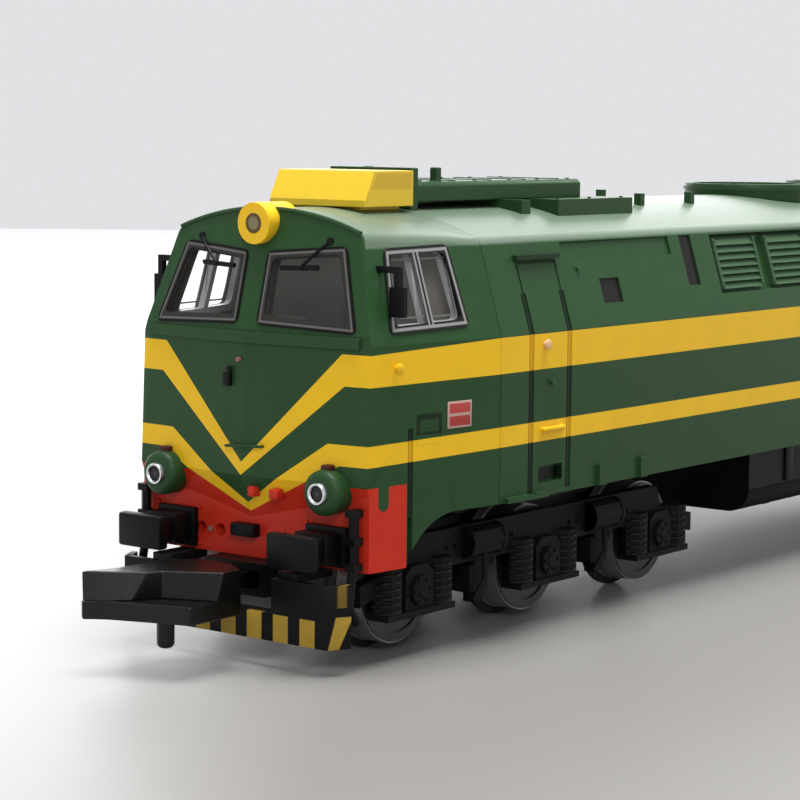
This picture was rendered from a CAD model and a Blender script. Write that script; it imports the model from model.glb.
import math

import bmesh
import bpy
from bpy.props import FloatProperty, FloatVectorProperty, IntProperty, PointerProperty
from bpy.types import Operator, Panel, PropertyGroup
from mathutils import Matrix, Vector


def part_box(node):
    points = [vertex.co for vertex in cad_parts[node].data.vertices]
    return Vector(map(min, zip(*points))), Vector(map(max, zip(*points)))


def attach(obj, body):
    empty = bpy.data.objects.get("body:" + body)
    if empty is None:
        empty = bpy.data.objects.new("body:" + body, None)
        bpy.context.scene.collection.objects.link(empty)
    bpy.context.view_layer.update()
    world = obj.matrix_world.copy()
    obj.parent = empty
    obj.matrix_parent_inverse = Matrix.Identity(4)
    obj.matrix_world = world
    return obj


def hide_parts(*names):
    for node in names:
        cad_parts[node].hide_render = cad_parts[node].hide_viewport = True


bl_info = {
    "name": "Model diesel locomotive",
    "version": (1, 0, 0),
    "blender": (4, 5, 0),
    "location": "View3D > Sidebar > Locomotive",
    "description": "Paint, fittings and studio for a small-scale model diesel locomotive",
    "category": "Object",
}

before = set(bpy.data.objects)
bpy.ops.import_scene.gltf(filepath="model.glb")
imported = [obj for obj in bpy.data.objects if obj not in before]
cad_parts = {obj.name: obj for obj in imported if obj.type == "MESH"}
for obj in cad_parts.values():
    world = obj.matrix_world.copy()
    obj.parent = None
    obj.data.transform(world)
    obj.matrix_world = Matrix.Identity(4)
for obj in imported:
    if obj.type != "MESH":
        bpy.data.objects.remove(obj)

# Everything below is worked out in millimetres and scaled once, when a piece is finished.
# +X runs to the front and +Y to the left. A reach is a distance back from the body's end.
MM = 0.001
WELD = 0.0001
ENDS = ("front", "back")


def corner(node, which):
    """One corner of a CAD node's box in millimetres: 0 the lowest, 1 the highest."""
    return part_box(node)[which] / MM


END_X = corner("buffers_front", 0).x
SEAM_X = corner("hood_shell", 1).x
HALF_WIDTH = corner("cab_shell_front", 1).y
ROOF_Z = corner("cab_shell_front", 1).z
CAB_LENGTH = END_X - SEAM_X
PIVOT_X = (corner("bogie_frame_front", 0).x + corner("bogie_frame_front", 1).x) / 2
AXLE_BOX_Y = corner("bogie_frame_front", 1).y
AXLE_Z = (corner("wheelset_front_1", 0).z + corner("wheelset_front_1", 1).z) / 2
AXLE_PITCH = (corner("wheelset_front_1", 0) - corner("wheelset_front_2", 0)).x
WHEEL_FACE_Y = corner("wheelset_front_1", 1).y
WHEEL_DIAMETER = (corner("wheelset_front_1", 1) - corner("wheelset_front_1", 0)).z
TREAD_INSET = 0.475
BUFFER_Y = 5.46
BUFFER_Z = 6.6
LAMP_Y = 5.92
LAMP_Z = 9.6
HEADLIGHT_Z = 23.8
PLOUGH_HALF = 7.4
PLOUGH_FOOT_Z = 1.45
PLOUGH_LIP_Z = 2.95
WING_TIP = (62.55, 8.1)

# The body's planes, as in the solids: knee of the side, lean above it and taper of the cab
KNEE_Z = 17.5
LEAN = math.radians(17.0)
CAB_TAPER = 1.25
ROOF_RADIUS = 18.5
ROOF_EDGE_Z = 22.6
CREASE_Z = 10.0
CREASE_REACH = 1.01
NOSE_SWEEP = 0.095
NOSE_LEAN = 0.045
BROW_FOOT = 5.16
BROW_LEAN = 0.25
GLASS_FOOT_Z = (BROW_FOOT - CREASE_REACH - NOSE_LEAN * CREASE_Z) / (BROW_LEAN - NOSE_LEAN)
GLASS_SINK = 0.12

# Window openings: the windscreen as (y, z), the side window as (reach, z)
WINDSCREEN = [(1.1, 18.7), (6.7, 18.5), (5.5, 22.3), (1.1, 21.95)]
SIDE_WINDOW = [(7.35, 18.6), (2.1, 18.45), (2.85, 22.2), (7.1, 22.3)]
PILLAR_REACH = 4.83

# The row of filter panels on the side
FILTER_REACH = 35.3
FILTER_WIDTH = 5.4
FILTER_COUNT = 8
FILTER_FOOT_Z = 19.0
FILTER_HEIGHT = 3.2
FILTER_SLATS = 7

# The stripes' edges from the highest down: rise along the cab and height on the side, then
# slope over the nose and height in its middle
STRIPE_EDGES = [
    (0.42, 17.02, 0.982, 10.75),
    (0.09, 15.31, 0.80, 10.02),
    (0.22, 12.18, 0.66, 8.45),
    (0.22, 11.03, 0.48, 7.93),
]

# What is painted on the side, as (reach, z) of its middle, half its size and its blur
PLATE_SPOT = (6.85, 13.42)
PLATE_FIELD = (PLATE_SPOT, (0.82, 0.62), (0.03, 0.03))
DOOR_DRIP = ((15.1, 21.78), (2.15, 0.13), (0.03, 0.08))
STEP_HOLE = ((15.3, 9.25), (1.15, 0.36), (0.2, 0.15))
GRAB_FRAME = ((4.5, 13.06), (0.98, 0.58), (0.1, 0.1))
GRAB_WELL = ((4.5, 12.98), (0.72, 0.34), (0.1, 0.1))
DOOR_REACH = 15.125
DOOR_HALF = 1.925
DOOR_FOOT_Z = 8.3
DOOR_TOP_Z = 19.75
RAIL_REACH = 3.08
RAIL_TOP_Z = 12.95
BEAM_REACH = 2.82
NOTCH_REACH = 1.065
NOTCH_Z = 9.0
NOTCH_RADIUS = 0.4
SIDE_Y = 6.2


class Livery(PropertyGroup):
    """Colours of the model."""

    green: FloatVectorProperty(
        name="Green", description="Main colour of the body", subtype="COLOR",
        size=3, default=(0.021, 0.066, 0.021),
    )
    filter_green: FloatVectorProperty(
        name="Filter green", description="Paler green of the filter panels", subtype="COLOR",
        size=3, default=(0.034, 0.082, 0.034),
    )
    stripe: FloatVectorProperty(
        name="Stripe yellow", description="Colour of the stripes", subtype="COLOR",
        size=3, default=(0.90, 0.545, 0.018),
    )
    unit: FloatVectorProperty(
        name="Unit yellow", description="Colour of the cooling unit on the cab's roof",
        subtype="COLOR", size=3, default=(0.80, 0.54, 0.03),
    )
    red: FloatVectorProperty(
        name="Beam red", description="Colour of the buffer beam", subtype="COLOR",
        size=3, default=(0.58, 0.031, 0.014),
    )
    black: FloatVectorProperty(
        name="Running gear black", description="Colour of bogies, buffers and couplers",
        subtype="COLOR", size=3, default=(0.0035, 0.0035, 0.0035),
    )
    floor: FloatVectorProperty(
        name="Floor", description="Colour of the floor near the model", subtype="COLOR",
        size=3, default=(0.235, 0.228, 0.218),
    )


class Fittings(PropertyGroup):
    """Sizes of the small fittings."""

    wire: FloatProperty(
        name="Wire", description="Thickness of wipers, pipes and small rails",
        default=0.16 * MM, unit="LENGTH",
    )
    spring_wire: FloatProperty(
        name="Spring wire", description="Thickness of the bogie springs' wire",
        default=0.26 * MM, unit="LENGTH",
    )
    spring_turns: IntProperty(
        name="Spring turns", description="Turns of each bogie spring", default=6,
    )
    bolt: FloatProperty(
        name="Bolt head", description="Width of a bolt head", default=0.26 * MM, unit="LENGTH",
    )
    plate_width: FloatProperty(
        name="Blank plate", description="Width of the blank plate on the cab's side",
        default=1.9 * MM, unit="LENGTH",
    )
    fan_blades: IntProperty(
        name="Fan blades", description="Blades of each roof fan", default=8,
    )
    lamp_power: FloatProperty(
        name="Lamp power", description="Power of the overhead lamp", default=2.1, unit="POWER",
    )


# Shader building


class Value:
    """A shader socket that Python's operators work on; each adds its Math node."""

    def __init__(self, recipe, socket):
        self.recipe = recipe
        self.socket = socket

    def math(self, operation, *others):
        """One Math node with this value as its first input."""
        inputs = dict(enumerate((self,) + others))
        return self.recipe.node("ShaderNodeMath", {"operation": operation}, inputs)

    def __add__(self, other):
        return self.math("ADD", other)

    def __sub__(self, other):
        return self.math("SUBTRACT", other)

    def __mul__(self, other):
        return self.math("MULTIPLY", other)

    def __truediv__(self, other):
        return self.math("DIVIDE", other)

    def __rmul__(self, other):
        return self.math("MULTIPLY", other)

    def __rsub__(self, other):
        return self.recipe.node("ShaderNodeMath", {"operation": "SUBTRACT"}, {0: other, 1: self})

    def __abs__(self):
        return self.math("ABSOLUTE")

    def least(self, other):
        """The smaller of two values."""
        return self.math("MINIMUM", other)

    def most(self, other):
        """The larger of two values."""
        return self.math("MAXIMUM", other)

    def clamped(self):
        """The value held between 0 and 1."""
        return self.least(1.0).most(0.0)

    def above(self, edge, blur=0.03):
        """A mask: 1 where the value is above an edge, softened over a short blur."""
        return ((self - edge) / blur + 0.5).clamped()

    def below(self, edge, blur=0.03):
        """A mask: 1 where the value is below an edge."""
        return 1 - self.above(edge, blur)

    def diagonal(self, other):
        """The length of the diagonal over two distances."""
        return (self * self + other * other).math("SQRT")


class Nodes:
    """The node tree of a material or a world that is being put together."""

    def __init__(self, owner):
        owner.use_nodes = True
        self.tree = owner.node_tree

    def node(self, kind, settings, inputs, output=0):
        """A node: its settings first, then its sockets' values or links."""
        made = self.tree.nodes.new(kind)
        for name, value in settings.items():
            setattr(made, name, value)
        for key, value in inputs.items():
            if isinstance(value, Value):
                self.tree.links.new(value.socket, made.inputs[key])
            else:
                made.inputs[key].default_value = value
        return Value(self, made.outputs[output])


class Recipe(Nodes):
    """A material that is being put together round its Principled shader."""

    def __init__(self, name, colour, roughness, **constants):
        self.material = bpy.data.materials.new(name)
        super().__init__(self.material)
        self.shader = self.tree.nodes["Principled BSDF"]
        self.shader.inputs["Base Color"].default_value = (*colour, 1)
        self.shader.inputs["Roughness"].default_value = roughness
        for socket, value in constants.items():
            self.shader.inputs[socket.replace("_", " ")].default_value = value

    def position(self):
        """The surface point's x, y and z in millimetres."""
        place = self.node("ShaderNodeTexCoord", {}, {}, "Object")
        scaled = self.node("ShaderNodeMapping", {}, {"Vector": place, "Scale": (1 / MM,) * 3})
        return [self.node("ShaderNodeSeparateXYZ", {}, {0: scaled}, axis) for axis in "XYZ"]

    def quarter_position(self):
        """The point's reach, distance from the middle and height, alike in every quarter."""
        x, y, z = self.position()
        return END_X - abs(x), abs(y), z

    def noise(self, scale, detail=2.0):
        """A noise value round 0.5; the scale is in grains to a metre."""
        place = self.node("ShaderNodeTexCoord", {}, {}, "Object")
        inputs = {"Vector": place, "Scale": scale, "Detail": detail}
        return self.node("ShaderNodeTexNoise", {}, inputs)

    def mix(self, share, low, high):
        """One colour over another by a mask; each is a tuple or an earlier mix."""
        colours = [value if isinstance(value, Value) else (*value, 1) for value in (low, high)]
        inputs = {0: share, 6: colours[0], 7: colours[1]}
        return self.node("ShaderNodeMix", {"data_type": "RGBA"}, inputs, 2)

    def uneven(self, share, colour, low, high):
        """A colour that a mask takes from a darker to a lighter share of itself."""
        return self.mix(share, tint(colour, low), tint(colour, high))

    def feed(self, socket, value):
        """Link a value or colour to a socket of the shader."""
        self.tree.links.new(value.socket, self.shader.inputs[socket])

    def bump(self, height, depth):
        """Give the surface a relief; the depth is in metres."""
        relief = self.node("ShaderNodeBump", {}, {"Height": height, "Distance": depth})
        self.feed("Normal", relief)


def tint(colour, share):
    """A colour made darker or lighter by a share."""
    return tuple(min(1.0, part * share) for part in colour)


def make_paint(name, colour, roughness, grain=900.0, wear=0.10, gloss=0.2):
    """Plain model paint: a little uneven in tone and gloss, with a fine grain."""
    recipe = Recipe(name, colour, roughness, Specular_IOR_Level=gloss)
    patches = recipe.noise(grain)
    speckle = recipe.noise(grain * 9)
    recipe.feed("Base Color", recipe.uneven(patches, colour, 1 - wear, 1 + wear))
    recipe.feed("Roughness", patches * 0.12 + (roughness - 0.06))
    recipe.bump(speckle, 0.006 * MM)
    return recipe.material


def patch(reach, z, mark):
    """A mask: 1 inside an upright rectangle on the side."""
    middle, half, blur = mark
    wide = abs(reach - middle[0]).below(half[0], blur[0])
    return wide * abs(z - middle[1]).below(half[1], blur[1])


def make_body_paint(livery):
    """The body's green with two yellow stripes that run into a V on the nose, and the red beam."""
    recipe = Recipe(
        "body_paint", livery.green, 0.36, Specular_IOR_Level=0.16, Coat_Roughness=0.42
    )
    reach, across, z = recipe.quarter_position()
    along = (reach / CAB_LENGTH).clamped()
    # Each stripe's edges: level on the side, falling to a point in the middle of the nose
    upper_top, upper_foot, lower_top, lower_foot = (
        (along * rise + height).least(across * slope + foot)
        for rise, height, slope, foot in STRIPE_EDGES
    )
    upper = (upper_top - z).above(0) * (z - upper_foot).above(0)
    lower = (lower_top - z).above(0) * (z - lower_foot).above(0)
    # The red beam below the crease, with a round-footed notch in its top near the corner
    notch = (reach - NOTCH_REACH).diagonal((NOTCH_Z - z).most(0.0)).below(NOTCH_RADIUS)
    beam = z.below(CREASE_Z - 0.08) * (lower_foot - z).above(0)
    beam = beam * reach.below(BEAM_REACH) * (1 - notch)
    # Dark lines: the door's channels, the corner rail, the strip over the door and the seam
    seam = abs(reach - CAB_LENGTH).below(0.05)
    on_side = across.above(SIDE_Y)
    channel = abs(abs(reach - DOOR_REACH) - DOOR_HALF).below(0.2, 0.1)
    channel = channel * z.below(DOOR_TOP_Z) * z.above(DOOR_FOOT_Z)
    rail = abs(reach - RAIL_REACH).below(0.16, 0.1) * z.below(RAIL_TOP_Z)
    shade = (channel + rail + patch(reach, z, DOOR_DRIP) + seam * 0.6).clamped() * on_side
    grab = patch(reach, z, GRAB_FRAME) * (1 - patch(reach, z, GRAB_WELL) * 0.8)
    deep = (patch(reach, z, STEP_HOLE) + grab * 0.75).clamped() * on_side
    # The roof behind the brow is paler and glossier
    behind_brow = reach + (BROW_FOOT - BROW_LEAN * z - NOSE_SWEEP * across)
    roof = z.above(ROOF_EDGE_Z, 0.15) * behind_brow.above(0.12, 0.1)
    patches = recipe.noise(700.0)
    green = recipe.uneven(patches, livery.green, 0.90, 1.10)
    green = recipe.mix(roof * 0.7, green, (0.14, 0.20, 0.14))
    yellow = recipe.uneven(patches, livery.stripe, 0.94, 1.05)
    red = recipe.uneven(patches, livery.red, 0.90, 1.10)
    green = recipe.mix(shade, green, tint(livery.green, 0.22))
    yellow = recipe.mix(shade * 0.6, yellow, (0.55, 0.26, 0.01))
    colour = recipe.mix((upper + lower).clamped(), green, yellow)
    colour = recipe.mix(beam, colour, red)
    colour = recipe.mix(deep, colour, tint(livery.green, 0.06))
    recipe.feed("Base Color", colour)
    recipe.feed("Roughness", patches * 0.1 + 0.31)
    recipe.feed("Coat Weight", roof * 0.8)
    recipe.bump(recipe.noise(9000.0), 0.005 * MM)
    return recipe.material


def make_plough_paint(livery):
    """Black with upright yellow stripes along the plough's lower edge."""
    recipe = Recipe("plough_stripes", livery.black, 0.5, Specular_IOR_Level=0.14)
    x, y, z = recipe.position()
    across = abs(y)
    pitch = 1.87
    turn = (y * (x / abs(x)) - 0.45) / pitch + 0.5
    place = abs(turn - turn.math("FLOOR") - 0.5)
    front = place.below(0.28, 0.02) * z.below(PLOUGH_LIP_Z) * across.below(PLOUGH_HALF - 0.04)
    # On each turned-back end one slanting stripe, and a duller one high on its edge
    share = (across - PLOUGH_HALF) / (WING_TIP[1] - PLOUGH_HALF)
    rise = z - PLOUGH_FOOT_Z
    end = share.above(rise * 0.18 + 0.06) * share.below(rise * 0.32 + 0.5) * z.below(3.2)
    high = abs(share - 0.62).below(0.18, 0.1) * z.above(3.7) * 0.35
    stripes = (front + end + high).clamped()
    patches = recipe.noise(1500.0)
    black = recipe.uneven(patches, livery.black, 0.8, 1.6)
    yellow = recipe.mix(patches, (0.36, 0.235, 0.03), (0.50, 0.33, 0.05))
    recipe.feed("Base Color", recipe.mix(stripes, black, yellow))
    recipe.feed("Roughness", patches * 0.2 + 0.4)
    return recipe.material


def make_unit_paint(livery):
    """Bright yellow, with a darker sunk panel on each side of the unit."""
    recipe = Recipe("unit_paint", livery.unit, 0.38, Specular_IOR_Level=0.35)
    reach, across, z = recipe.quarter_position()
    # The panel's slanting front edge, its back edge, its foot and its head
    leaning = reach - (z - 25.6) * 0.6
    inside = leaning.above(5.95) * reach.below(9.6) * z.above(25.62) * z.below(26.5)
    inside = inside * across.above(3.3)
    patches = recipe.noise(900.0)
    yellow = recipe.uneven(patches, livery.unit, 0.95, 1.04)
    recipe.feed("Base Color", recipe.mix(inside * 0.6, yellow, (0.58, 0.36, 0.02)))
    recipe.feed("Roughness", patches * 0.1 + 0.34)
    return recipe.material


def make_filter_paint(livery):
    """Paler green of the filter panels, darker in the gaps between the slats."""
    recipe = Recipe("filter_paint", livery.filter_green, 0.55, Specular_IOR_Level=0.3)
    z = recipe.position()[2]
    step = (z - FILTER_FOOT_Z) / (FILTER_HEIGHT / FILTER_SLATS)
    shade = (step - step.math("FLOOR")).above(0.78, 0.2)
    patches = recipe.noise(1200.0)
    green = recipe.uneven(patches, livery.filter_green, 0.92, 1.08)
    recipe.feed("Base Color", recipe.mix(shade * 0.4, green, tint(livery.filter_green, 0.5)))
    recipe.feed("Roughness", patches * 0.1 + 0.5)
    return recipe.material


def outside(across, z, corners):
    """How far a point lies outside an outline whose corners run clockwise."""
    farthest = None
    for number, (far, far_z) in enumerate(corners):
        near, near_z = corners[number - 1]
        length = math.hypot(far - near, far_z - near_z)
        turn, rise = (near_z - far_z) / length, (far - near) / length
        past = across * turn + z * rise - (turn * near + rise * near_z)
        farthest = past if farthest is None else farthest.most(past)
    return farthest


def make_frame_paint():
    """Side window frames: a pale line round the panes and up the pillar, dark outside it."""
    recipe = Recipe("frame_paint", (0.3, 0.3, 0.29), 0.4, Specular_IOR_Level=0.2)
    reach, across, z = recipe.quarter_position()
    past = outside(reach, z, SIDE_WINDOW)
    line = abs(past - 0.17).below(0.08, 0.06)
    pillar = abs(reach - PILLAR_REACH)
    post = pillar.below(0.21) * pillar.above(0.08, 0.05) * past.below(0.1)
    taper = (CAB_LENGTH - reach) * (CAB_TAPER / CAB_LENGTH)
    skin = HALF_WIDTH - taper - (z - KNEE_Z) * math.tan(LEAN)
    behind = (skin - across).above(0.2, 0.05)
    marks = recipe.noise(1500.0)
    pale = recipe.mix(marks, (0.24, 0.24, 0.235), (0.30, 0.30, 0.29))
    front = recipe.mix((line + post).clamped(), (0.008, 0.010, 0.008), pale)
    recipe.feed("Base Color", recipe.mix(behind, front, (0.80, 0.80, 0.79)))
    return recipe.material


def make_rubber_paint():
    """The windscreens' rubbers: black, with a thin grey line and a brown inner lip."""
    recipe = Recipe("window_rubber", (0.005, 0.005, 0.005), 0.5, Specular_IOR_Level=0.12)
    across, z = recipe.quarter_position()[1:]
    past = outside(across, z, WINDSCREEN[::-1])
    line = abs(past - 0.2).below(0.06, 0.05)
    marks = recipe.noise(1500.0)
    black = recipe.mix(marks, (0.003, 0.003, 0.003), (0.008, 0.008, 0.008))
    inner = recipe.mix(past.below(0.17, 0.06), black, (0.032, 0.030, 0.027))
    recipe.feed("Base Color", recipe.mix(line, inner, (0.13, 0.125, 0.12)))
    return recipe.material


def make_glass(name, colour, alpha, roughness=0.06, gloss=0.3):
    """Clear moulded glazing with a faint unevenness."""
    recipe = Recipe(name, colour, roughness, Specular_IOR_Level=gloss)
    haze = recipe.noise(400.0)
    recipe.feed("Roughness", haze * 0.08 + roughness)
    recipe.feed("Alpha", haze * 0.04 + (alpha - 0.02))
    return recipe.material


def make_metal(name, colour, roughness, grain=2500.0):
    """Bare metal with fine marks in its gloss."""
    recipe = Recipe(name, colour, roughness, Metallic=1.0)
    marks = recipe.noise(grain, 4.0)
    recipe.feed("Base Color", recipe.uneven(marks, colour, 0.85, 1.1))
    recipe.feed("Roughness", marks * 0.2 + (roughness - 0.1))
    recipe.bump(marks, 0.004 * MM)
    return recipe.material


def make_wheel_metal():
    """Blackened wheels: dark on the faces, with a pale line round the tread."""
    recipe = Recipe("wheel_metal", (0.08, 0.078, 0.075), 0.4, Metallic=0.85)
    x, z = recipe.position()[::2]
    offset = abs(x) - PIVOT_X
    nearest = abs(offset).least(abs(abs(offset) - AXLE_PITCH))
    radius = nearest.diagonal(z - AXLE_Z)
    tread = abs(radius - (WHEEL_DIAMETER / 2 - TREAD_INSET)).below(0.07)
    marks = recipe.noise(2000.0, 3.0)
    dark = recipe.mix(marks, (0.05, 0.049, 0.047), (0.10, 0.097, 0.092))
    recipe.feed("Base Color", recipe.mix(tread, dark, (0.42, 0.41, 0.40)))
    recipe.feed("Roughness", marks * 0.2 + 0.3)
    return recipe.material


def make_plate():
    """A blank plate: red with a pale border and a pale band across, with no writing."""
    recipe = Recipe("blank_plate", (0.45, 0.06, 0.05), 0.5, Specular_IOR_Level=0.2)
    reach, z = recipe.quarter_position()[::2]
    band = abs(z - PLATE_SPOT[1]).below(0.08)
    patches = recipe.noise(2000.0)
    red = recipe.mix(patches, (0.40, 0.05, 0.045), (0.46, 0.07, 0.06))
    inside = patch(reach, z, PLATE_FIELD) * (1 - band)
    recipe.feed("Base Color", recipe.mix(inside, (0.52, 0.34, 0.29), red))
    return recipe.material


def make_lamp_lens():
    """The marker lamps' dark lenses with a small paler middle, and the headlight's olive one."""
    recipe = Recipe("lamp_lens", (0.6, 0.6, 0.58), 0.15, Specular_IOR_Level=0.3)
    across, z = recipe.quarter_position()[1:]
    marker = (across - LAMP_Y).diagonal(z - LAMP_Z)
    head = across.diagonal(z - HEADLIGHT_Z)
    spot = recipe.mix(marker.below(0.12, 0.1), (0.004, 0.004, 0.005), (0.05, 0.045, 0.05))
    warm = recipe.mix(head.below(0.36, 0.12), (0.09, 0.055, 0.008), (0.22, 0.19, 0.09))
    recipe.feed("Base Color", recipe.mix(z.below(15.0), warm, spot))
    return recipe.material


MATERIALS = {}


def paint_all(livery):
    """Make every material once, by its plain name."""
    MATERIALS.update(
        body=make_body_paint(livery),
        green=make_paint("plain_green", tint(livery.green, 0.9), 0.4),
        filter=make_filter_paint(livery),
        unit=make_unit_paint(livery),
        yellow=make_paint("plain_yellow", livery.stripe, 0.4),
        red=make_paint("plain_red", livery.red, 0.42),
        black=make_paint("black_plastic", livery.black, 0.42, 1500.0, 0.35, 0.14),
        bogie=make_paint("bogie_black", tint(livery.black, 1.3), 0.6, 1200.0, 0.45, 0.14),
        rubber=make_rubber_paint(),
        trim=make_paint("window_metal", (0.13, 0.13, 0.125), 0.35, 1500.0, 0.08),
        dull=make_paint("dull_trim", (0.035, 0.033, 0.03), 0.4, 1500.0, 0.1),
        frame=make_frame_paint(),
        nub=make_paint("brown_nub", (0.06, 0.012, 0.010), 0.45, 1500.0, 0.1),
        rose=make_paint("rose_pin", (0.30, 0.14, 0.11), 0.4, 1500.0, 0.1),
        hook=make_paint("hook_plastic", tint(livery.black, 0.7), 0.3, 1500.0, 0.2, 0.3),
        pin=make_paint("pale_knob", (0.80, 0.50, 0.30), 0.4, 1500.0, 0.1),
        inside=make_paint("cab_inside", (0.38, 0.355, 0.33), 0.7, 800.0, 0.12),
        glass=make_glass("glazing", (0.30, 0.29, 0.28), 0.05),
        pane=make_glass("dark_pane", (0.016, 0.014, 0.013), 0.95, 0.2, 0.1),
        chrome=make_metal("bright_metal", (0.62, 0.64, 0.66), 0.3),
        chassis=make_metal("chassis_metal", (0.13, 0.13, 0.135), 0.5),
        spring=make_paint("spring_black", (0.006, 0.006, 0.006), 0.4, 1500.0, 0.2),
        wheel=make_wheel_metal(),
        plough=make_plough_paint(livery),
        plate=make_plate(),
        lens=make_lamp_lens(),
    )


# CAD nodes by their name without the end, with the finish each gets
FINISHES = {
    "body": ("cab_shell", "hood_shell", "handrails"),
    "green": ("marker_lamps", "roof_duct", "roof_hatches"),
    "filter": ("filter_panels",),
    "unit": ("cooling_unit",),
    "yellow": ("headlight",),
    "black": ("buffers", "coupler", "coupler_pocket", "mirrors", "brake_hoses", "fuel_tank"),
    "bogie": ("bogie_frame",),
    "rubber": ("windscreen_rubbers",),
    "frame": ("side_window_frames",),
    "inside": ("cab_interior",),
    "glass": ("cab_glazing",),
    "pane": ("hood_windows",),
    "chrome": ("marker_rings",),
    "chassis": ("underframe", "ballast_block", "bogie_gearbox"),
    "lens": ("lamp_lenses",),
    "plough": ("plough",),
    "wheel": ("wheelset",),
}


def finish_of(node):
    """The finish of a CAD node, by the longest name that it starts with."""
    found = [
        (len(name), finish)
        for finish, names in FINISHES.items()
        for name in names
        if node == name or node.startswith(name + "_")
    ]
    if not found:
        raise RuntimeError("no finish is named for the node " + node)
    return max(found)[1]


# Modelling helpers. A place is a matrix that carries a fitting's own axes to the model.


def shift(x, y, z):
    """A place moved along its own axes."""
    return Matrix.Translation((x, y, z))


def spun(degrees, axis):
    """A place turned about one of its own axes."""
    return Matrix.Rotation(math.radians(degrees), 4, axis)


def quarter(end, side):
    """The place of one quarter of the model: its end, and 1 for the left or -1 for the right."""
    return spun(180 if end == "back" else 0, "Z") @ Matrix.Diagonal((1, side, 1, 1))


def quarters(end):
    """The places of an end's left and right quarter."""
    return [quarter(end, side) for side in (1, -1)]


def skin_place(spot, across, up):
    """A place on a skin, with X across it, Y up it and Z out of it."""
    across = Vector(across).normalized()
    out = across.cross(Vector(up)).normalized()
    turn = Matrix((across, out.cross(across), out)).transposed().to_4x4()
    return Matrix.Translation(spot) @ turn


def side_skin(reach, z):
    """A place on the left side's skin: X runs back."""
    above = max(0.0, z - KNEE_Z)
    in_cab = max(0.0, CAB_LENGTH - reach)
    taper = CAB_TAPER / CAB_LENGTH
    y = HALF_WIDTH - taper * in_cab - above * math.tan(LEAN)
    up = (0, -math.sin(LEAN), math.cos(LEAN)) if above else (0, 0, 1)
    return skin_place((END_X - reach, y, z), (-1, taper if in_cab else 0, 0), up)


def nose_skin(y, z):
    """A place on the nose: X runs to the left."""
    lean = BROW_LEAN if z > GLASS_FOOT_Z else NOSE_LEAN
    foot = BROW_FOOT if z > GLASS_FOOT_Z else CREASE_REACH + NOSE_LEAN * CREASE_Z
    x = END_X + foot - lean * z - NOSE_SWEEP * abs(y)
    return skin_place((x, y, z), (-math.copysign(NOSE_SWEEP, y), 1, 0), (-lean, 0, 1))


def roof_edge(y):
    """The point of the roof's front edge at a distance from the middle."""
    z = ROOF_Z - ROOF_RADIUS + math.sqrt(ROOF_RADIUS**2 - y**2)
    return Vector((END_X + BROW_FOOT - BROW_LEAN * z - NOSE_SWEEP * abs(y), y, z))


def add_box(bm, place, low, high, edge=0.0):
    """A box between two corners, with its edges bevelled if an edge width is given."""
    low, high = Vector(low), Vector(high)
    matrix = place @ Matrix.Translation((low + high) / 2) @ Matrix.Diagonal((*(high - low), 1))
    made = bmesh.ops.create_cube(bm, size=1, matrix=matrix)
    if edge:
        edges = list({e for v in made["verts"] for e in v.link_edges})
        bmesh.ops.bevel(
            bm, geom=edges, offset=edge, segments=2, profile=0.5, affect="EDGES", material=-1
        )


def add_rod(bm, place, start, end, diameter, tip=None, segments=12):
    """A round bar between two points, or a cone where a tip diameter is given."""
    start, end = Vector(start), Vector(end)
    along = end - start
    turn = along.to_track_quat("Z", "Y").to_matrix().to_4x4()
    bmesh.ops.create_cone(
        bm, cap_ends=True, segments=segments, radius1=diameter / 2,
        radius2=(diameter if tip is None else tip) / 2, depth=along.length,
        matrix=place @ Matrix.Translation((start + end) / 2) @ turn,
    )


def add_path(bm, place, points, diameter, segments=8):
    """A bent round bar through several points, with a ball at each bend."""
    for start, end in zip(points, points[1:]):
        add_rod(bm, place, start, end, diameter, segments=segments)
    for point in points[1:-1]:
        add_ball(bm, place, point, diameter, segments)


def add_ball(bm, place, centre, diameter, segments=10):
    """A ball."""
    bmesh.ops.create_uvsphere(
        bm, u_segments=segments, v_segments=max(4, segments // 2), radius=diameter / 2,
        matrix=place @ Matrix.Translation(centre),
    )


def add_knob(bm, skin, diameter, height):
    """A knob on a short neck, standing out of a skin."""
    add_rod(bm, skin, (0, 0, -0.05), (0, 0, height * 0.7), diameter * 0.55)
    add_rod(bm, skin, (0, 0, height * 0.55), (0, 0, height * 0.9), diameter, segments=16)
    add_rod(bm, skin, (0, 0, height * 0.9), (0, 0, height), diameter, diameter * 0.7, 16)


def add_turned(bm, place, profile, segments=32):
    """A turned piece: its profile, as (distance along Z, radius), spun about a place's Z axis."""
    verts = [bm.verts.new(place @ Vector((radius, 0, along))) for along, radius in profile]
    edges = [bm.edges.new(pair) for pair in zip(verts, verts[1:])]
    bmesh.ops.spin(
        bm, geom=verts + edges, cent=place.translation, angle=math.tau, steps=segments,
        axis=(place.to_3x3() @ Vector((0, 0, 1))).normalized(), use_merge=True,
    )


def add_tapered(bm, place, low_plan, high_plan, low, high):
    """A block between two plans with as many corners, one at each height."""
    verts = [bm.verts.new((x, y, low)) for x, y in low_plan]
    raised = bmesh.ops.extrude_face_region(bm, geom=[bm.faces.new(verts)])
    lifted = [item for item in raised["geom"] if isinstance(item, bmesh.types.BMVert)]
    for vert in lifted:
        near = min(range(len(low_plan)), key=lambda n: (vert.co.xy - Vector(low_plan[n])).length)
        vert.co = (*high_plan[near], high)
    bmesh.ops.transform(bm, matrix=place, verts=verts + lifted)


def add_ring(bm, place, outer, inner, depth, segments):
    """A flat ring with a square section about a place's Z axis."""
    profile = [(0, inner), (0, outer), (depth, outer), (depth, inner), (0, inner)]
    add_turned(bm, place, [(along, size / 2) for along, size in profile], segments)


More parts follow.
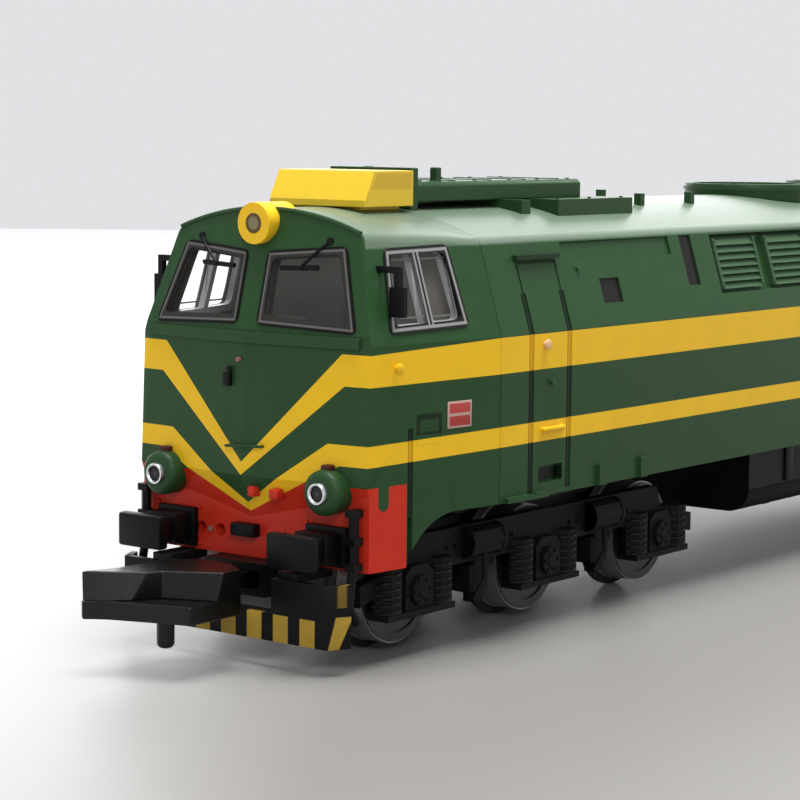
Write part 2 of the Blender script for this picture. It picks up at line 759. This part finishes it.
def add_bolt(bm, place, spot, width, height=0.1):
    """A six-sided bolt head on a place's Z axis."""
    add_rod(bm, place, (*spot, 0), (*spot, height), width, segments=6)


def add_coil(bm, place, centre, diameter, wire, height, turns):
    """A spring: a round section spun upwards about its axis."""
    matrix = place @ Matrix.Translation(centre)
    section = matrix @ shift(diameter / 2, 0, 0) @ spun(90, "X")
    made = bmesh.ops.create_circle(bm, cap_ends=True, segments=6, radius=wire / 2, matrix=section)
    faces = list({face for vert in made["verts"] for face in vert.link_faces})
    edges = list({edge for vert in made["verts"] for edge in vert.link_edges})
    steps = turns * 14
    bmesh.ops.spin(
        bm, geom=made["verts"] + edges + faces, cent=matrix.translation, axis=(0, 0, 1),
        dvec=(0, 0, height / steps), angle=math.tau * turns, steps=steps,
    )


def add_frame(bm, place, corners, width, depth, radius=0.3):
    """A flat window frame: a rounded outline inset by a width and raised by a depth."""
    flat = bmesh.new()
    flat.faces.new([flat.verts.new((x, y, 0)) for x, y in corners])
    bmesh.ops.bevel(
        flat, geom=flat.verts[:], offset=radius, segments=4, profile=0.5,
        affect="VERTICES", material=-1,
    )
    ring = bmesh.ops.inset_region(
        flat, faces=flat.faces[:], thickness=width, use_even_offset=True, use_boundary=True
    )["faces"]
    pane = [face for face in flat.faces if face not in ring]
    bmesh.ops.delete(flat, geom=pane, context="FACES")
    bmesh.ops.solidify(flat, geom=flat.faces[:], thickness=depth)
    rear = min(vert.co.z for vert in flat.verts)
    bmesh.ops.transform(flat, matrix=place @ shift(0, 0, -rear), verts=flat.verts)
    carrier = bpy.data.meshes.new("frame")
    flat.to_mesh(carrier)
    flat.free()
    bm.from_mesh(carrier)
    bpy.data.meshes.remove(carrier)


def add_fan(bm, place, diameter, blades):
    """A fan: a hub and tilted blades round it."""
    add_rod(bm, place, (0, 0, 0), (0, 0, 0.2), diameter * 0.22, segments=20)
    for number in range(blades):
        blade = place @ spun(360 * number / blades, "Z") @ spun(24, "X")
        add_box(bm, blade, (diameter * 0.1, -0.45, 0.05), (diameter * 0.46, 0.45, 0.1))


def soften(piece, width, angle=30):
    """Round a piece's sharp edges a little with a live bevel."""
    weld = piece.modifiers.new("weld", "WELD")
    weld.merge_threshold = WELD * MM
    bevel = piece.modifiers.new("bevel", "BEVEL")
    bevel.width = width
    bevel.segments = 2
    bevel.limit_method = "ANGLE"
    bevel.angle_limit = math.radians(angle)
    bevel.harden_normals = True


def new_shapes(count):
    """As many empty bmeshes."""
    return [bmesh.new() for number in range(count)]


def finish_piece(name, bm, body, finish):
    """Close a bmesh as a finished piece in metres that rides with a body."""
    bmesh.ops.remove_doubles(bm, verts=bm.verts, dist=WELD)
    bmesh.ops.recalc_face_normals(bm, faces=bm.faces)
    bmesh.ops.scale(bm, vec=(MM,) * 3, verts=bm.verts)
    mesh = bpy.data.meshes.new(name)
    bm.to_mesh(mesh)
    bm.free()
    mesh.shade_smooth()
    mesh.set_sharp_from_angle(angle=math.radians(35))
    mesh.materials.append(MATERIALS[finish])
    made = bpy.data.objects.new(name, mesh)
    bpy.context.scene.collection.objects.link(made)
    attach(made, body)
    return made


class LOCO_OT_paint(Operator):
    """Give every CAD node its finish"""

    bl_idname = "loco.paint"
    bl_label = "Paint"

    # How far the moulded edges of some nodes are rounded, in millimetres
    softened = {
        "cab_shell": 0.12, "cooling_unit": 0.12, "roof_duct": 0.08,
        "roof_hatches": 0.06, "headlight": 0.1, "fuel_tank": 0.1,
    }

    def execute(self, context):
        paint_all(context.scene.loco_livery)
        for name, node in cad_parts.items():
            material = MATERIALS[finish_of(name)]
            if not node.material_slots:
                node.data.materials.append(material)
            for material_slot in node.material_slots:
                material_slot.material = material
            for start, width in self.softened.items():
                if name.startswith(start):
                    soften(node, width * MM, 35)
        return {"FINISHED"}


class LOCO_OT_window_trim(Operator):
    """Dark inner frames of the windscreens, and the pale frames of the side windows' panes"""

    bl_idname = "loco.window_trim"
    bl_label = "Window trim"

    # Each side pane from its front to its back, measured from the window's middle
    panes = [(-2.3, -0.35), (0.05, 2.2)]
    pane_foot = -1.62
    pane_head = 1.7

    def execute(self, context):
        middle_y, middle_z = (sum(values) / 4 for values in zip(*WINDSCREEN))
        spread = [(y - middle_y, (z - middle_z) * 1.03) for y, z in WINDSCREEN]
        glass = nose_skin(middle_y, middle_z) @ shift(0, 0, -GLASS_SINK)
        reach, height = (sum(values) / 4 for values in zip(*SIDE_WINDOW))
        sunk = side_skin(reach, height) @ shift(0.15, 0.02, -GLASS_SINK)
        foot, head = self.pane_foot, self.pane_head
        for end in ENDS:
            pale, dark = new_shapes(2)
            for place in quarters(end):
                add_frame(dark, place @ glass, spread, 0.12, 0.06)
                for low, high in self.panes:
                    pane = [(low, foot), (high, foot), (high, head), (low, head)]
                    add_frame(pale, place @ sunk, pane, 0.09, 0.06, 0.12)
            finish_piece("window_trim_" + end, pale, "body", "trim")
            finish_piece("screen_trim_" + end, dark, "body", "dull")
        return {"FINISHED"}


class LOCO_OT_wipers(Operator):
    """A wiper over each windscreen: pivot, arm and blade"""

    bl_idname = "loco.wipers"
    bl_label = "Wipers"

    # Points as (distance in front of the body's end, y, z)
    pivot = Vector((-1.02, 4.64, 22.94))
    blade_in = Vector((-0.36, 1.67, 21.44))
    blade_out = Vector((-0.58, 4.17, 21.54))
    lip_drop = Vector((0, 0, -0.12))

    def execute(self, context):
        wire = context.scene.loco_fittings.wire / MM
        middle = self.blade_in.lerp(self.blade_out, 0.55) + Vector((0.08, 0, 0))
        bend = self.pivot.lerp(middle, 0.35) + Vector((0.12, 0, 0))
        for end in ENDS:
            bm = bmesh.new()
            for place in quarters(end):
                place = place @ shift(END_X, 0, 0)
                add_path(bm, place, [self.pivot, bend, middle], wire)
                add_rod(bm, place @ Matrix.Translation(self.pivot), (-0.3, 0, 0), (0.1, 0, 0), 0.42)
                add_rod(bm, place, self.blade_in, self.blade_out, wire * 1.4, segments=8)
                lip = place @ Matrix.Translation(self.lip_drop)
                add_rod(bm, lip, self.blade_in, self.blade_out, wire * 0.6, segments=6)
                add_ball(bm, place, middle, wire * 2)
            finish_piece("wipers_" + end, bm, "body", "black")
        return {"FINISHED"}


class LOCO_OT_side_fittings(Operator):
    """Blank plates, door knobs and handles, and the covers of the grab recesses"""

    bl_idname = "loco.side_fittings"
    bl_label = "Side fittings"

    # Knobs as (reach, z, diameter, height)
    body_knobs = [(1.9, 16.3, 0.5, 0.42), (15.16, 14.6, 0.36, 0.2), (19.2, 20.9, 0.34, 0.16)]
    pale_knob = (14.5, 16.83, 0.56, 0.33)
    # The handle and the grab recess by (reach, z) of their middle
    handle_spot = (15.25, 11.92)
    handle_half = 0.95
    handle_height = 0.19
    grab_spot = (4.45, 12.4)
    grab_half = (0.94, 0.44)
    plate_tall = 0.74

    def execute(self, context):
        half = context.scene.loco_fittings.plate_width / MM / 2
        tall = self.plate_tall
        wide, height = self.handle_half, self.handle_height
        handle = [(-wide, 0, 0), (-wide, 0, height), (wide, 0, height), (wide, 0, 0)]
        for end in ENDS:
            plates, knobs, pale = new_shapes(3)
            for place in quarters(end):
                skin = place @ side_skin(*PLATE_SPOT)
                add_box(plates, skin, (-half, -tall, -0.02), (half, tall, 0.05), 0.02)
                for reach, z, diameter, out in self.body_knobs:
                    add_knob(knobs, place @ side_skin(reach, z), diameter, out)
                reach, z, diameter, out = self.pale_knob
                add_knob(pale, place @ side_skin(reach, z), diameter, out)
                add_path(knobs, place @ side_skin(*self.handle_spot), handle, 0.3, 10)
                grab_x, grab_y = self.grab_half
                skin = place @ side_skin(*self.grab_spot)
                add_box(knobs, skin, (-grab_x, -grab_y, -0.3), (grab_x, grab_y, 0.0))
            finish_piece("blank_plates_" + end, plates, "body", "plate")
            finish_piece("side_knobs_" + end, knobs, "body", "body")
            finish_piece("door_knobs_" + end, pale, "body", "pin")
        return {"FINISHED"}


class LOCO_OT_nose_fittings(Operator):
    """Lamp iron, rail, rain strip, lugs, jumper box, bolts and hose ends of the nose and beam"""

    bl_idname = "loco.nose_fittings"
    bl_label = "Nose fittings"

    # The rain strip follows the roof's front edge out to this distance from the middle
    strip_half = 6.5
    strip_count = 20
    # Lugs of the beam as (y, width), bolts and sockets as (y, z)
    lugs = [(0.75, 0.5), (2.35, 0.62)]
    bolts = [(3.9, 7.75), (7.05, 7.75), (3.9, 5.65), (7.05, 5.65)]
    socket = (3.05, 6.6)
    rail_wire = [(-1.15, 0, -0.05), (-1.15, 0, 0.3), (1.15, 0.1, 0.3), (1.15, 0.1, -0.05)]

    def execute(self, context):
        wire = context.scene.loco_fittings.wire / MM
        bolt = context.scene.loco_fittings.bolt / MM
        step = 2 * self.strip_half / self.strip_count
        strip = [roof_edge(step * n - self.strip_half) for n in range(self.strip_count + 1)]
        hose_foot = corner("brake_hoses_front", 0).z
        hose_x, hose_y = corner("brake_hoses_front", 1).xy
        hose = [(-0.3, -0.35, hose_foot + 0.2), (0.1, -0.3, 3.6), (-0.5, -0.2, 2.6)]
        for end in ENDS:
            green, black, red, pale = new_shapes(4)
            place = quarter(end, 1)
            iron = place @ nose_skin(-1.15, 15.3)
            add_box(black, iron, (-0.28, -0.45, 0), (0.28, 0.3, 0.3), 0.08)
            add_box(black, iron, (-0.05, 0.15, 0.1), (0.3, 0.65, 0.26), 0.05)
            add_rod(pale, place @ nose_skin(-0.35, 16.35), (0, 0, -0.05), (0, 0, 0.2), 0.26)
            add_path(green, place @ nose_skin(0.3, 11.6), self.rail_wire, wire)
            add_path(green, place, strip, 0.26, 8)
            for y, width in self.lugs:
                lug = place @ shift(END_X, y, 9.15)
                add_box(red, lug, (0.2, -width / 2, -0.28), (1.05, width / 2, 0.3), 0.1)
            jumper = place @ shift(END_X, -0.3, 6.9)
            add_box(black, jumper, (-0.1, -0.85, -0.4), (0.6, 0.85, 0.32), 0.08)
            for here in quarters(end):
                for y, z in self.bolts:
                    add_bolt(red, here @ shift(END_X, y, z) @ spun(90, "Y"), (0, 0), bolt)
                add_path(black, here @ shift(hose_x, hose_y, 0), hose, 0.5, 10)
                socket = here @ shift(END_X, *self.socket)
                add_rod(pale, socket, (-0.05, 0, 0), (0.12, 0, 0), 0.34, segments=14)
            finish_piece("nose_rail_" + end, green, "body", "green")
            finish_piece("nose_black_" + end, black, "body", "black")
            finish_piece("beam_trim_" + end, red, "body", "red")
            finish_piece("nose_pins_" + end, pale, "body", "rose")
        return {"FINISHED"}


class LOCO_OT_end_fittings(Operator):
    """Rounded marker lamps, buffers, the hook coupler and the plough, in place of the plain ones"""

    bl_idname = "loco.end_fittings"
    bl_label = "End fittings"

    # Turned outlines as (distance along, radius)
    lamp_profile = [
        (-0.15, 0.0), (-0.15, 1.22), (0.95, 1.26), (1.2, 1.2), (1.36, 1.02), (1.4, 0.82), (1.4, 0.0),
    ]
    ring_profile = [
        (1.38, 0.42), (1.38, 0.61), (1.6, 0.61), (1.68, 0.57), (1.68, 0.48), (1.6, 0.42), (1.38, 0.42),
    ]
    pin_profile = [(3.1, 0.0), (3.1, 0.48), (1.6, 0.48), (1.42, 0.4), (1.35, 0.25), (1.35, 0.0)]
    hub_profile = [(3.95, 0.56), (3.95, 1.05), (4.85, 1.05), (4.85, 0.56), (3.95, 0.56)]
    pin_x = 68.3
    hub_x = 61.8
    # Plans of the coupler's head as (x, y): lip, foot and crest of the lean, and what lies behind
    nose_plan = [(71.6, -2.95), (70.85, -1.85), (70.05, 0.35), (69.3, 2.7)]
    foot_plan = [(71.58, -2.97), (70.84, -1.86), (69.93, -0.94), (68.4, -0.2), (67.3, 2.7)]
    crest_plan = [(71.2, -3.4), (70.41, -2.22), (69.25, -0.42), (68.43, -0.1), (66.72, 2.7)]
    rear_plan = [(65.3, 2.7), (64.3, 1.1), (64.3, -1.1), (65.3, -2.65), (69.1, -2.65)]
    # A buffer's foot, collar, stock and head as (back, front, half width, half height, edge)
    buffer_steps = [
        (-0.1, 0.35, 1.4, 1.1, 0.08), (0.3, 1.6, 1.1, 0.85, 0.08),
        (1.5, 2.8, 0.95, 0.7, 0.08), (2.65, 3.4, 1.6, 0.95, 0.18),
    ]
    plough_thick = 0.4
    plough_top = 4.9

    def execute(self, context):
        for end in ENDS:
            self.make_lamps(end)
            self.make_buffers(end)
            self.make_coupler(end)
            self.make_plough(end)
        return {"FINISHED"}

    def make_lamps(self, end):
        """Two round lamp bodies with a soft front edge, and the brown nub on each."""
        drums, rings, wells, nubs = new_shapes(4)
        for place in quarters(end):
            place = place @ shift(END_X, LAMP_Y, LAMP_Z)
            face = place @ spun(90, "Y")
            add_turned(drums, face, self.lamp_profile, 40)
            add_turned(rings, face, self.ring_profile, 36)
            add_rod(wells, place, (1.36, 0, 0), (1.42, 0, 0), 0.88, segments=28)
            add_box(nubs, place, (0.35, -0.32, 1.1), (0.95, 0.32, 1.5), 0.12)
        lamps = finish_piece("lamp_bodies_" + end, drums, "body", "green")
        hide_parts("marker_lamps_" + end)
        rims = finish_piece("lamp_rims_" + end, rings, "body", "chrome")
        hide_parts("marker_rings_" + end)
        finish_piece("lamp_wells_" + end, wells, "body", "black")
        finish_piece("lamp_nubs_" + end, nubs, "body", "nub")

    def make_buffers(self, end):
        """Two flat buffers with rounded corners on a square stock and collar."""
        bm = bmesh.new()
        for place in quarters(end):
            place = place @ shift(END_X, BUFFER_Y, BUFFER_Z)
            for back, front, wide, tall, edge in self.buffer_steps:
                add_box(bm, place, (back, -wide, -tall), (front, wide, tall), edge)
        buffers = finish_piece("buffer_heads_" + end, bm, "body", "black")
        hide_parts("buffers_" + end)

    def make_coupler(self, end):
        """The hook: a lip, a head that leans back above it, a shank, an eye and the pin below."""
        bm = bmesh.new()
        place = quarter(end, 1)
        outline = self.nose_plan + self.rear_plan + self.crest_plan[:1]
        add_tapered(bm, place, outline, outline, 3.0, 4.0)
        low = self.foot_plan + self.rear_plan
        high = self.crest_plan + self.rear_plan
        add_tapered(bm, place, low, high, 3.98, 5.5)
        add_box(bm, place, (62.2, -1.1, 3.95), (64.6, 1.1, 4.85))
        add_turned(bm, place @ shift(self.hub_x, 0, 0), self.hub_profile)
        add_turned(bm, place @ shift(self.pin_x, 0, 0), self.pin_profile)
        coupler = finish_piece("hook_" + end, bm, "coupler_" + end, "hook")
        soften(coupler, 0.09 * MM)
        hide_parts("coupler_" + end)

    def make_plough(self, end):
        """The plough's plate with its cut-out, a turned-back wing at each side, and its legs."""
        bm = bmesh.new()
        front = END_X + 2.5
        rear = front - self.plough_thick
        top = self.plough_top
        low = (rear, -PLOUGH_HALF, PLOUGH_FOOT_Z)
        add_box(bm, quarter(end, 1), low, (front, PLOUGH_HALF, PLOUGH_LIP_Z), 0.04)
        back = Vector((WING_TIP[0] - front, WING_TIP[1] - PLOUGH_HALF, 0))
        turn = back.to_track_quat("X", "Z").to_matrix().to_4x4()
        for here in quarters(end):
            add_box(bm, here, (rear, 3.5, 2.9), (front, PLOUGH_HALF, top), 0.04)
            add_box(bm, here, (END_X - 0.6, 3.9, 4.81), (front - 0.1, 5.3, 5.33), 0.04)
            wing = here @ shift(front, PLOUGH_HALF, 0) @ turn
            high = (back.length, self.plough_thick, top)
            add_box(bm, wing, (-0.02, 0.0, PLOUGH_FOOT_Z), high, 0.04)
        plough = finish_piece("plough_plates_" + end, bm, "body", "plough")
        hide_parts("plough_" + end)


class LOCO_OT_bogie_fittings(Operator):
    """Coil springs, axle-box covers, bolts and sand pipes of the bogies"""

    bl_idname = "loco.bogie_fittings"
    bl_label = "Bogie fittings"

    side_y = 7.1
    spring_size = 1.5
    spring_shift = 2.3
    spring_foot = 2.65
    spring_height = 2.5
    cover_bolts = 6
    cover_radius = 0.66
    pipe = [(0, 0, 5.4), (0, 0.1, 3.4), (0.7, -0.2, 2.2)]
    beam_bolts = [-9.0, -3.4, 3.4, 9.0]

    def execute(self, context):
        sizes = context.scene.loco_fittings
        wire = sizes.spring_wire / MM
        bolt = sizes.bolt / MM
        for end in ENDS:
            springs, covers = new_shapes(2)
            for place in quarters(end):
                place = place @ shift(PIVOT_X, 0, 0)
                for x in (-AXLE_PITCH, 0, AXLE_PITCH):
                    for spring_x in (x - self.spring_shift, x + self.spring_shift):
                        foot = (spring_x, self.side_y, self.spring_foot)
                        size, height = self.spring_size, self.spring_height
                        add_coil(springs, place, foot, size, wire, height, sizes.spring_turns)
                    face = place @ shift(x, AXLE_BOX_Y - 0.32, AXLE_Z) @ spun(-90, "X")
                    add_rod(covers, face, (0, 0, -0.05), (0, 0, 0.2), 1.7, segments=28)
                    add_rod(covers, face, (0, 0, 0.15), (0, 0, 0.3), 0.9, 0.7, segments=20)
                    for number in range(self.cover_bolts):
                        angle = math.tau * number / self.cover_bolts
                        spot = Vector((math.cos(angle), math.sin(angle))) * self.cover_radius
                        add_bolt(covers, face @ shift(0, 0, 0.18), spot, bolt * 0.8)
                for x in (-AXLE_PITCH / 2, AXLE_PITCH / 2):
                    for along in (-1.6, 1.35):
                        here = place @ shift(x + along, self.side_y, 5.6)
                        add_rod(covers, here, (0, 0, 0), (0.25, 0, 0), 1.86, segments=20)
                    add_path(covers, place @ shift(x, 7.45, 0), self.pipe, 0.3)
                for x in self.beam_bolts:
                    here = place @ shift(x, self.side_y, 5.5) @ spun(-90, "X")
                    for spot in ((-0.4, 0), (0.4, 0)):
                        add_bolt(covers, here, spot, bolt, 0.14)
            body = "bogie_" + end
            finish_piece("bogie_springs_" + end, springs, body, "spring")
            finish_piece("axle_covers_" + end, covers, body, "bogie")
        return {"FINISHED"}


class LOCO_OT_wheel_faces(Operator):
    """A rim ring and a stepped hub in low relief on each wheel's face"""

    bl_idname = "loco.wheel_faces"
    bl_label = "Wheel faces"

    def execute(self, context):
        for end in ENDS:
            for number, offset in ((1, AXLE_PITCH), (2, 0), (3, -AXLE_PITCH)):
                bm = bmesh.new()
                for place in quarters(end):
                    here = place @ shift(PIVOT_X + offset, WHEEL_FACE_Y - 0.02, AXLE_Z)
                    add_ring(bm, here @ spun(-90, "X"), 6.2, 5.2, 0.12, 36)
                    add_rod(bm, here, (0, 0, 0), (0, 0.22, 0), 2.0, 1.7, segments=24)
                    add_rod(bm, here, (0, 0.15, 0), (0, 0.3, 0), 0.9, segments=16)
                name = "wheelset_%s_%d" % (end, number)
                finish_piece("wheel_faces_%s_%d" % (end, number), bm, name, "wheel")
        return {"FINISHED"}


class LOCO_OT_roof_fittings(Operator):
    """Fans under the cowls, the cowls' rims, and seams and bolts of the roof"""

    bl_idname = "loco.roof_fittings"
    bl_label = "Roof fittings"

    fan_reach = 53.9
    duct_top = 26.0
    seam_reaches = [14.8, 18.4, 22.0, 25.6]
    # Rows of bolts as (reaches, y, z, height)
    bolt_rows = [
        ([11.6, 14.5, 17.0, 20.5, 23.5, 26.8], 2.55, 26.0, 0.06),
        ([22.6, 26.1, 29.7], 4.7, 24.85, 0.08),
    ]

    def execute(self, context):
        sizes = context.scene.loco_fittings
        bolt = sizes.bolt / MM
        for end in ENDS:
            fans, trim = new_shapes(2)
            place = quarter(end, 1) @ shift(END_X, 0, 0)
            add_fan(fans, place @ shift(-self.fan_reach, 0, ROOF_Z + 0.12), 8.0, sizes.fan_blades)
            add_ring(trim, place @ shift(-self.fan_reach, 0, ROOF_Z + 0.31), 9.2, 8.9, 0.2, 48)
            for reaches, y, z, height in self.bolt_rows:
                for reach in reaches:
                    for spot in ((0, -y), (0, y)):
                        add_bolt(trim, place @ shift(-reach, 0, z), spot, bolt, height)
            for reach in self.seam_reaches:
                spot = place @ shift(-reach, 0, self.duct_top)
                add_box(trim, spot, (-0.09, -2.7, -0.02), (0.09, 2.7, 0.05), 0.02)
            finish_piece("roof_fans_" + end, fans, "body", "black")
            finish_piece("roof_trim_" + end, trim, "body", "green")
        return {"FINISHED"}


class LOCO_OT_filter_trim(Operator):
    """A bolt in each corner of the filter panels"""

    bl_idname = "loco.filter_trim"
    bl_label = "Filter trim"

    inset = 0.15
    bolt_heights = (19.2, 22.0)

    def execute(self, context):
        bolt = context.scene.loco_fittings.bolt / MM
        pitch = (2 * (END_X - FILTER_REACH) - FILTER_WIDTH) / (FILTER_COUNT - 1)
        trim = bmesh.new()
        for place in quarters("front"):
            for number in range(FILTER_COUNT):
                front = FILTER_REACH + number * pitch
                for reach in (front + self.inset, front + FILTER_WIDTH - self.inset):
                    for z in self.bolt_heights:
                        add_bolt(trim, place @ side_skin(reach, z), (0, 0), bolt * 0.7, 0.06)
        finish_piece("filter_bolts", trim, "body", "filter")
        return {"FINISHED"}


class LOCO_OT_underside(Operator):
    """Screws of the gear blocks, and straps and plugs of the tank"""

    bl_idname = "loco.underside"
    bl_label = "Underside"

    straps = [-15.0, -5.0, 5.0, 15.0]
    strap_top = 7.9
    plugs = [-10.0, 10.0]
    plug_z = 6.9
    screws = [-14.2, -6.3, 6.3, 14.2]

    def execute(self, context):
        foot = corner("fuel_tank", 0).z
        side = corner("fuel_tank", 1).y
        bm = bmesh.new()
        for x in self.straps:
            low, high = (x - 0.5, -6.4, foot - 0.12), (x + 0.5, 6.4, foot + 0.05)
            add_box(bm, Matrix.Identity(4), low, high, 0.03)
        for place in quarters("front"):
            for x in self.straps:
                low, high = (x - 0.5, side, foot + 1.7), (x + 0.5, side + 0.14, self.strap_top)
                add_box(bm, place, low, high, 0.03)
            for x in self.plugs:
                plug = place @ shift(x, side - 0.02, self.plug_z)
                add_rod(bm, plug, (0, 0, 0), (0, 0.35, 0), 0.9, segments=20)
                add_rod(bm, plug, (0, 0, 0), (0, 0.45, 0), 0.4)
        finish_piece("tank_straps", bm, "body", "black")
        bottom = corner("bogie_gearbox_front", 0).z
        for end in ENDS:
            bm = bmesh.new()
            for x in self.screws:
                for y in (-2.2, 2.2):
                    spot = quarter(end, 1) @ shift(PIVOT_X + x, y, bottom)
                    add_rod(bm, spot, (0, 0, 0.05), (0, 0, -0.15), 0.9, segments=16)
            finish_piece("gear_screws_" + end, bm, "bogie_" + end, "chrome")
        return {"FINISHED"}


class LOCO_OT_stage(Operator):
    """Floor, soft lamps, pale surroundings and the camera"""

    bl_idname = "loco.stage"
    bl_label = "Stage"

    # The camera's place in millimetres and its turns in degrees
    camera_place = (162.038, 88.176, 29.020)
    camera_yaw = 217.724
    camera_pitch = -6.347
    camera_roll = 0.534
    camera_lens = 109.85
    # The part along X and along Y of a step over the floor towards the camera
    toward_x = 0.791
    toward_y = 0.611
    # The backdrop's colour and its strength as seen and as light
    sky_colour = (0.97, 0.97, 1.0)
    sky_seen = 0.78
    sky_light = 0.34
    # How far behind the model the floor ends, and half its size in metres
    floor_edge = 507
    floor_size = 2.0

    def execute(self, context):
        self.make_floor(context)
        self.make_world(context)
        power = context.scene.loco_fittings.lamp_power
        self.make_lamp("overhead", (20, 25, 345), (10, 0, 10), (190, 190), power)
        self.make_lamp("catch", (284, 213, 178), (70, 0, 5), (80, 80), 0.3)
        self.make_lamp("back", (-340, -265, 150), (10, 0, 20), (620, 280), 1.0)
        self.make_camera(context)
        context.scene.view_settings.view_transform = "Standard"
        return {"FINISHED"}

    def make_floor(self, context):
        """A wide plane, grey near the model and white round it up to its far edge."""
        bm = bmesh.new()
        size = self.floor_size
        place = spun(self.camera_yaw - 180, "Z") @ shift(size - self.floor_edge * MM, 0, 0)
        bmesh.ops.create_grid(bm, x_segments=1, y_segments=1, size=size, matrix=place)
        mesh = bpy.data.meshes.new("floor")
        bm.to_mesh(mesh)
        bm.free()
        near = context.scene.loco_livery.floor
        recipe = Recipe("floor", near, 0.45, Specular_IOR_Level=0.35, Emission_Strength=1.0)
        x, y = recipe.position()[:2]
        across = y * self.toward_x - x * self.toward_y
        toward = x * self.toward_x + y * self.toward_y
        # White to the left, behind and far away; the backdrop's tone along the far edge
        left = ((-33 - across) / 34).clamped()
        far = ((0 - toward) / 120).clamped()
        away = ((x.diagonal(y) - 110) / 190).clamped()
        pale = left.most(far).most(away)
        edge = ((toward + self.floor_edge) / 150).clamped()
        glow = recipe.mix(edge, tint(self.sky_colour, self.sky_seen), (0.9, 0.9, 0.9))
        patches = recipe.noise(14.0)
        tone = recipe.uneven(patches, near, 0.92, 1.08)
        recipe.feed("Base Color", recipe.mix(pale, tone, (0.03, 0.03, 0.03)))
        recipe.feed("Emission Color", recipe.mix(pale, (0, 0, 0), glow))
        recipe.feed("Roughness", patches * 0.2 + 0.35)
        mesh.materials.append(recipe.material)
        floor = bpy.data.objects.new("floor", mesh)
        context.scene.collection.objects.link(floor)

    def make_world(self, context):
        """Soft light from all round, seen as a plain pale backdrop."""
        world = bpy.data.worlds.new("studio")
        context.scene.world = world
        sky = Nodes(world)
        camera, glass, gloss = (
            sky.node("ShaderNodeLightPath", {}, {}, "Is %s Ray" % kind)
            for kind in ("Camera", "Transmission", "Glossy")
        )
        seen = camera.most(glass).most(gloss)
        strength = seen * (self.sky_seen - self.sky_light) + self.sky_light
        background = sky.tree.nodes["Background"]
        background.inputs["Color"].default_value = (*self.sky_colour, 1)
        sky.tree.links.new(strength.socket, background.inputs["Strength"])

    def make_lamp(self, name, place, target, size, power):
        """A soft lamp, aimed at a point; its sizes are in millimetres."""
        light = bpy.data.lights.new(name, "AREA")
        light.shape = "RECTANGLE"
        light.size, light.size_y = (side * MM for side in size)
        light.energy = power
        lamp = bpy.data.objects.new(name, light)
        bpy.context.scene.collection.objects.link(lamp)
        lamp.visible_camera = False
        lamp.location = Vector(place) * MM
        lamp.rotation_euler = (Vector(target) - Vector(place)).to_track_quat("-Z", "Y").to_euler()

    def make_camera(self, context):
        """The camera at the photograph's angle."""
        data = bpy.data.cameras.new("camera")
        data.lens = self.camera_lens
        data.sensor_width = 36.0
        data.clip_start = 0.005
        data.clip_end = 20.0
        camera = bpy.data.objects.new("camera", data)
        context.scene.collection.objects.link(camera)
        level = spun(self.camera_yaw - 90, "Z") @ spun(90 + self.camera_pitch, "X")
        turn = level @ spun(self.camera_roll, "Z")
        camera.matrix_world = Matrix.Translation(Vector(self.camera_place) * MM) @ turn
        context.scene.camera = camera


OPERATORS = (
    LOCO_OT_paint,
    LOCO_OT_window_trim,
    LOCO_OT_wipers,
    LOCO_OT_side_fittings,
    LOCO_OT_nose_fittings,
    LOCO_OT_end_fittings,
    LOCO_OT_bogie_fittings,
    LOCO_OT_wheel_faces,
    LOCO_OT_roof_fittings,
    LOCO_OT_filter_trim,
    LOCO_OT_underside,
    LOCO_OT_stage,
)


class LOCO_PT_build(Panel):
    """Lists the steps in the 3D view's sidebar"""

    bl_label = "Locomotive"
    bl_space_type = "VIEW_3D"
    bl_region_type = "UI"
    bl_category = "Locomotive"

    def draw(self, context):
        for operator in OPERATORS:
            self.layout.operator(operator.bl_idname)
        for name in Livery.__annotations__:
            self.layout.prop(context.scene.loco_livery, name)
        for name in Fittings.__annotations__:
            self.layout.prop(context.scene.loco_fittings, name)


CLASSES = (Livery, Fittings) + OPERATORS + (LOCO_PT_build,)


def register():
    """Register the classes and the scene's settings."""
    for item in CLASSES:
        bpy.utils.register_class(item)
    bpy.types.Scene.loco_livery = PointerProperty(type=Livery)
    bpy.types.Scene.loco_fittings = PointerProperty(type=Fittings)


def unregister():
    """Take back what register did."""
    del bpy.types.Scene.loco_fittings
    del bpy.types.Scene.loco_livery
    for item in reversed(CLASSES):
        bpy.utils.unregister_class(item)


def main():
    """Run each step in order."""
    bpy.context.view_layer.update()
    register()
    for operator in OPERATORS:
        step = getattr(bpy.ops.loco, operator.bl_idname.split(".")[1])
        step()


if __name__ == "__main__":
    main()
